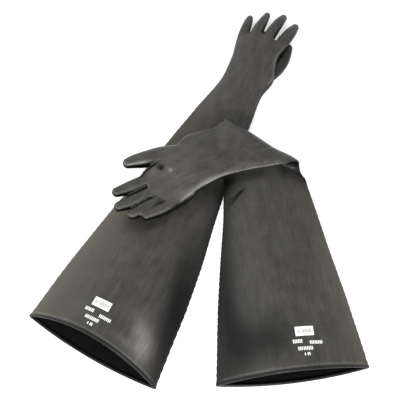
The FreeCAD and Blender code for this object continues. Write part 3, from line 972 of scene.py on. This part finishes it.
# ---------------------------------------------------------------- left glove
def build_left():
    rest, quads = glove_skin("left", LEFT_SECTIONS, LEFT_CHAINS)
    rest = rest + normals_of(rest, quads) * dents_left(rest)[:, None]
    world = LEFT.out(rest)
    nrm = normals_of(world, quads)
    tint, shade = left_looks(rest, nrm)
    owner = stall_split(rest, LEFT_CHAINS, FINGERS, LEFT_STALLS)
    along = rest[quads, 1].mean(axis=1)
    low, high = LEFT_WRIST

    def cut(name, keep, lining=False):
        return piece(name, world, quads, keep, nrm, rest, tint, shade, SKIN, lining)

    taken = np.zeros(len(quads), bool)
    for number, name in enumerate(FINGERS):
        keep = quads_of(owner, quads, number)
        taken |= keep
        obj = cut(f"left_{name}_skin", keep)
        start = LEFT_STALLS[name] + STALL_INSET
        stall_blend(obj, LEFT_CHAINS[name], start, LEFT.out)
        finish_piece(f"left_{name}")
    obj = cut("left_hand_skin", (along >= high) & ~taken)
    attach(obj, "left_hand")
    finish_piece("left_hand")
    obj = cut("left_wrist_skin", (along >= low) & (along < high))
    a, b = LEFT.out(LEFT_WRIST_BEND) * MM
    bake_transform(obj)
    finish_piece("left_wrist")
    obj = cut("left_sleeve_skin", along < low, lining=True)
    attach(obj, "left_sleeve")
    finish_piece("left_sleeve")
    left_thumb()
    cuff_bead("left", LEFT.out, LEFT_SECTIONS)
    decals("left", LEFT.out, world, quads)


def left_thumb():
    """The left thumb lies under the hand, so it is a closed shape of its own."""
    balls = curved_chain(LEFT_THUMB)
    parts = [hull_of_balls(a, b) for a, b in zip(balls[:-1], balls[1:])]
    rest, quads = remesh(*join(parts), THUMB_VOXEL)
    rest = relax(rest, quads, 8)
    world = LEFT.out(rest)
    nrm = normals_of(world, quads)
    every = np.ones(len(quads), bool)
    tint = np.zeros(len(rest))
    # Painted shade: the thumb lies under the hand, so it is darkened all over
    shade = np.full(len(rest), 0.4)
    obj = piece("left_thumb_skin", world, quads, every, nrm, rest, tint, shade, SKIN)
    stall_blend(obj, LEFT_THUMB, LEFT_THUMB_START, LEFT.out)
    finish_piece("left_thumb")


# ---------------------------------------------------------------- right glove
def right_owner(rest, names):
    """Which stall of the right hand each point belongs to, with the thumb's web left out."""
    owner = stall_split(rest, RIGHT_CHAINS, names, RIGHT_STALLS)
    nearest = stall_split(rest, RIGHT_CHAINS, names, dict.fromkeys(names, RIGHT_WEB))
    owner[(owner == 0) & (nearest != 0)] = -1
    return owner


def build_right():
    rest, quads = glove_skin("right", RIGHT_SECTIONS, RIGHT_CHAINS)
    rest = rest + normals_of(rest, quads) * dents_right(rest)[:, None]
    world, fold = lay_right(rest)
    quads = quads[:, ::-1]
    nrm = normals_of(world, quads)
    tint, shade = right_looks(rest, nrm, fold)
    names = ["thumb"] + FINGERS
    owner = right_owner(rest, names)
    ahead = fold[quads, 1].mean(axis=1)
    along = rest[quads, 1].mean(axis=1)
    past = ahead >= np.pi * FOLD_MID
    low, high = RIGHT_WRIST

    def cut(name, keep, lining=False):
        return piece(name, world, quads, keep, nrm, rest, tint, shade, SKIN, lining)

    taken = np.zeros(len(quads), bool)
    for number, name in enumerate(names):
        keep = quads_of(owner, quads, number)
        taken |= keep
        obj = cut(f"right_{name}_skin", keep)
        start = RIGHT_STALLS[name] + STALL_INSET
        stall_blend(obj, RIGHT_CHAINS[name], start, right_local)
        finish_piece(f"right_{name}")
    obj = cut("right_hand_skin", (along >= high) & past & ~taken)
    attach(obj, "right_hand")
    finish_piece("right_hand")
    obj = cut("right_wrist_skin", (along >= low) & (along < high) & past)
    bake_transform(obj)
    finish_piece("right_wrist")
    obj = cut("right_forearm_skin", (along < low) & past)
    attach(obj, "right_forearm")
    finish_piece("right_forearm")
    obj = cut("right_fold_skin", (ahead >= 0) & ~past)
    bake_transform(obj)
    finish_piece("right_sleeve_fold")
    obj = cut("right_sleeve_skin", ahead < 0, lining=True)
    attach(obj, "right_sleeve")
    finish_piece("right_sleeve")
    cuff_bead("right", right_cuff_place, RIGHT_SECTIONS)
    decals("right", RIGHT.out, world, quads)


# ---------------------------------------------------------------- stage
FLOOR_HALF = 4.0
FLOOR_Z = -0.0006


def stage():
    corners = [(-1, -1), (1, -1), (1, 1), (-1, 1)]
    points = [(FLOOR_HALF * x, FLOOR_HALF * y, FLOOR_Z) for x, y in corners]
    mesh = new_mesh("floor", points, [(0, 1, 2, 3)])
    floor = new_object("floor", mesh)
    n = Nodes("floor_white")
    n.shader.inputs["Base Color"].default_value = (0.9, 0.9, 0.9, 1)
    n.shader.inputs["Roughness"].default_value = 0.9
    n.shader.inputs["Specular IOR Level"].default_value = 0.1
    # The floor gives off a little light, so that the background is white
    n.shader.inputs["Emission Color"].default_value = (1, 1, 1, 1)
    n.shader.inputs["Emission Strength"].default_value = 0.35
    mesh.materials.append(n.mat)
    world = bpy.data.worlds.new("studio")
    bpy.context.scene.world = world
    world.use_nodes = True
    world.node_tree.nodes["Background"].inputs["Color"].default_value = (1, 1, 1, 1)
    world.node_tree.nodes["Background"].inputs["Strength"].default_value = 1.0
    # A large soft lamp behind on the left, and a small one in front
    lamp("key", at=(-2.1, 1.7, 1.9), size=3.4, power=46)
    lamp("front", at=(0.1, -2.4, 1.75), size=0.5, power=60)


def lamp(name, at, size, power):
    data = bpy.data.lights.new(name, "AREA")
    data.shape = "SQUARE"
    data.size = size
    data.energy = power
    obj = bpy.data.objects.new(name, data)
    bpy.context.scene.collection.objects.link(obj)
    aim(obj, at, (0, 0, 0))


def aim(obj, at, to):
    turn = (Vector(to) - Vector(at)).to_track_quat("-Z", "Y")
    obj.matrix_world = Matrix.Translation(Vector(at)) @ turn.to_matrix().to_4x4()


CAMERA_LENS = 135.0
CAMERA_TARGET = (0.0060, -0.0116, 0.0)
CAMERA_ELEVATION = 68.0
CAMERA_DISTANCE = 2.95


def camera():
    data = bpy.data.cameras.new("camera")
    data.lens = CAMERA_LENS
    data.sensor_width = 36.0
    data.clip_end = 50.0
    obj = bpy.data.objects.new("camera", data)
    bpy.context.scene.collection.objects.link(obj)
    target = np.array(CAMERA_TARGET)
    tilt = math.radians(CAMERA_ELEVATION)
    away = np.array((0, -math.cos(tilt), math.sin(tilt))) * CAMERA_DISTANCE
    aim(obj, tuple(target + away), tuple(target))
    bpy.context.scene.camera = obj
    bpy.context.scene.view_settings.view_transform = "Standard"


build_left()
build_right()
stage()
camera()
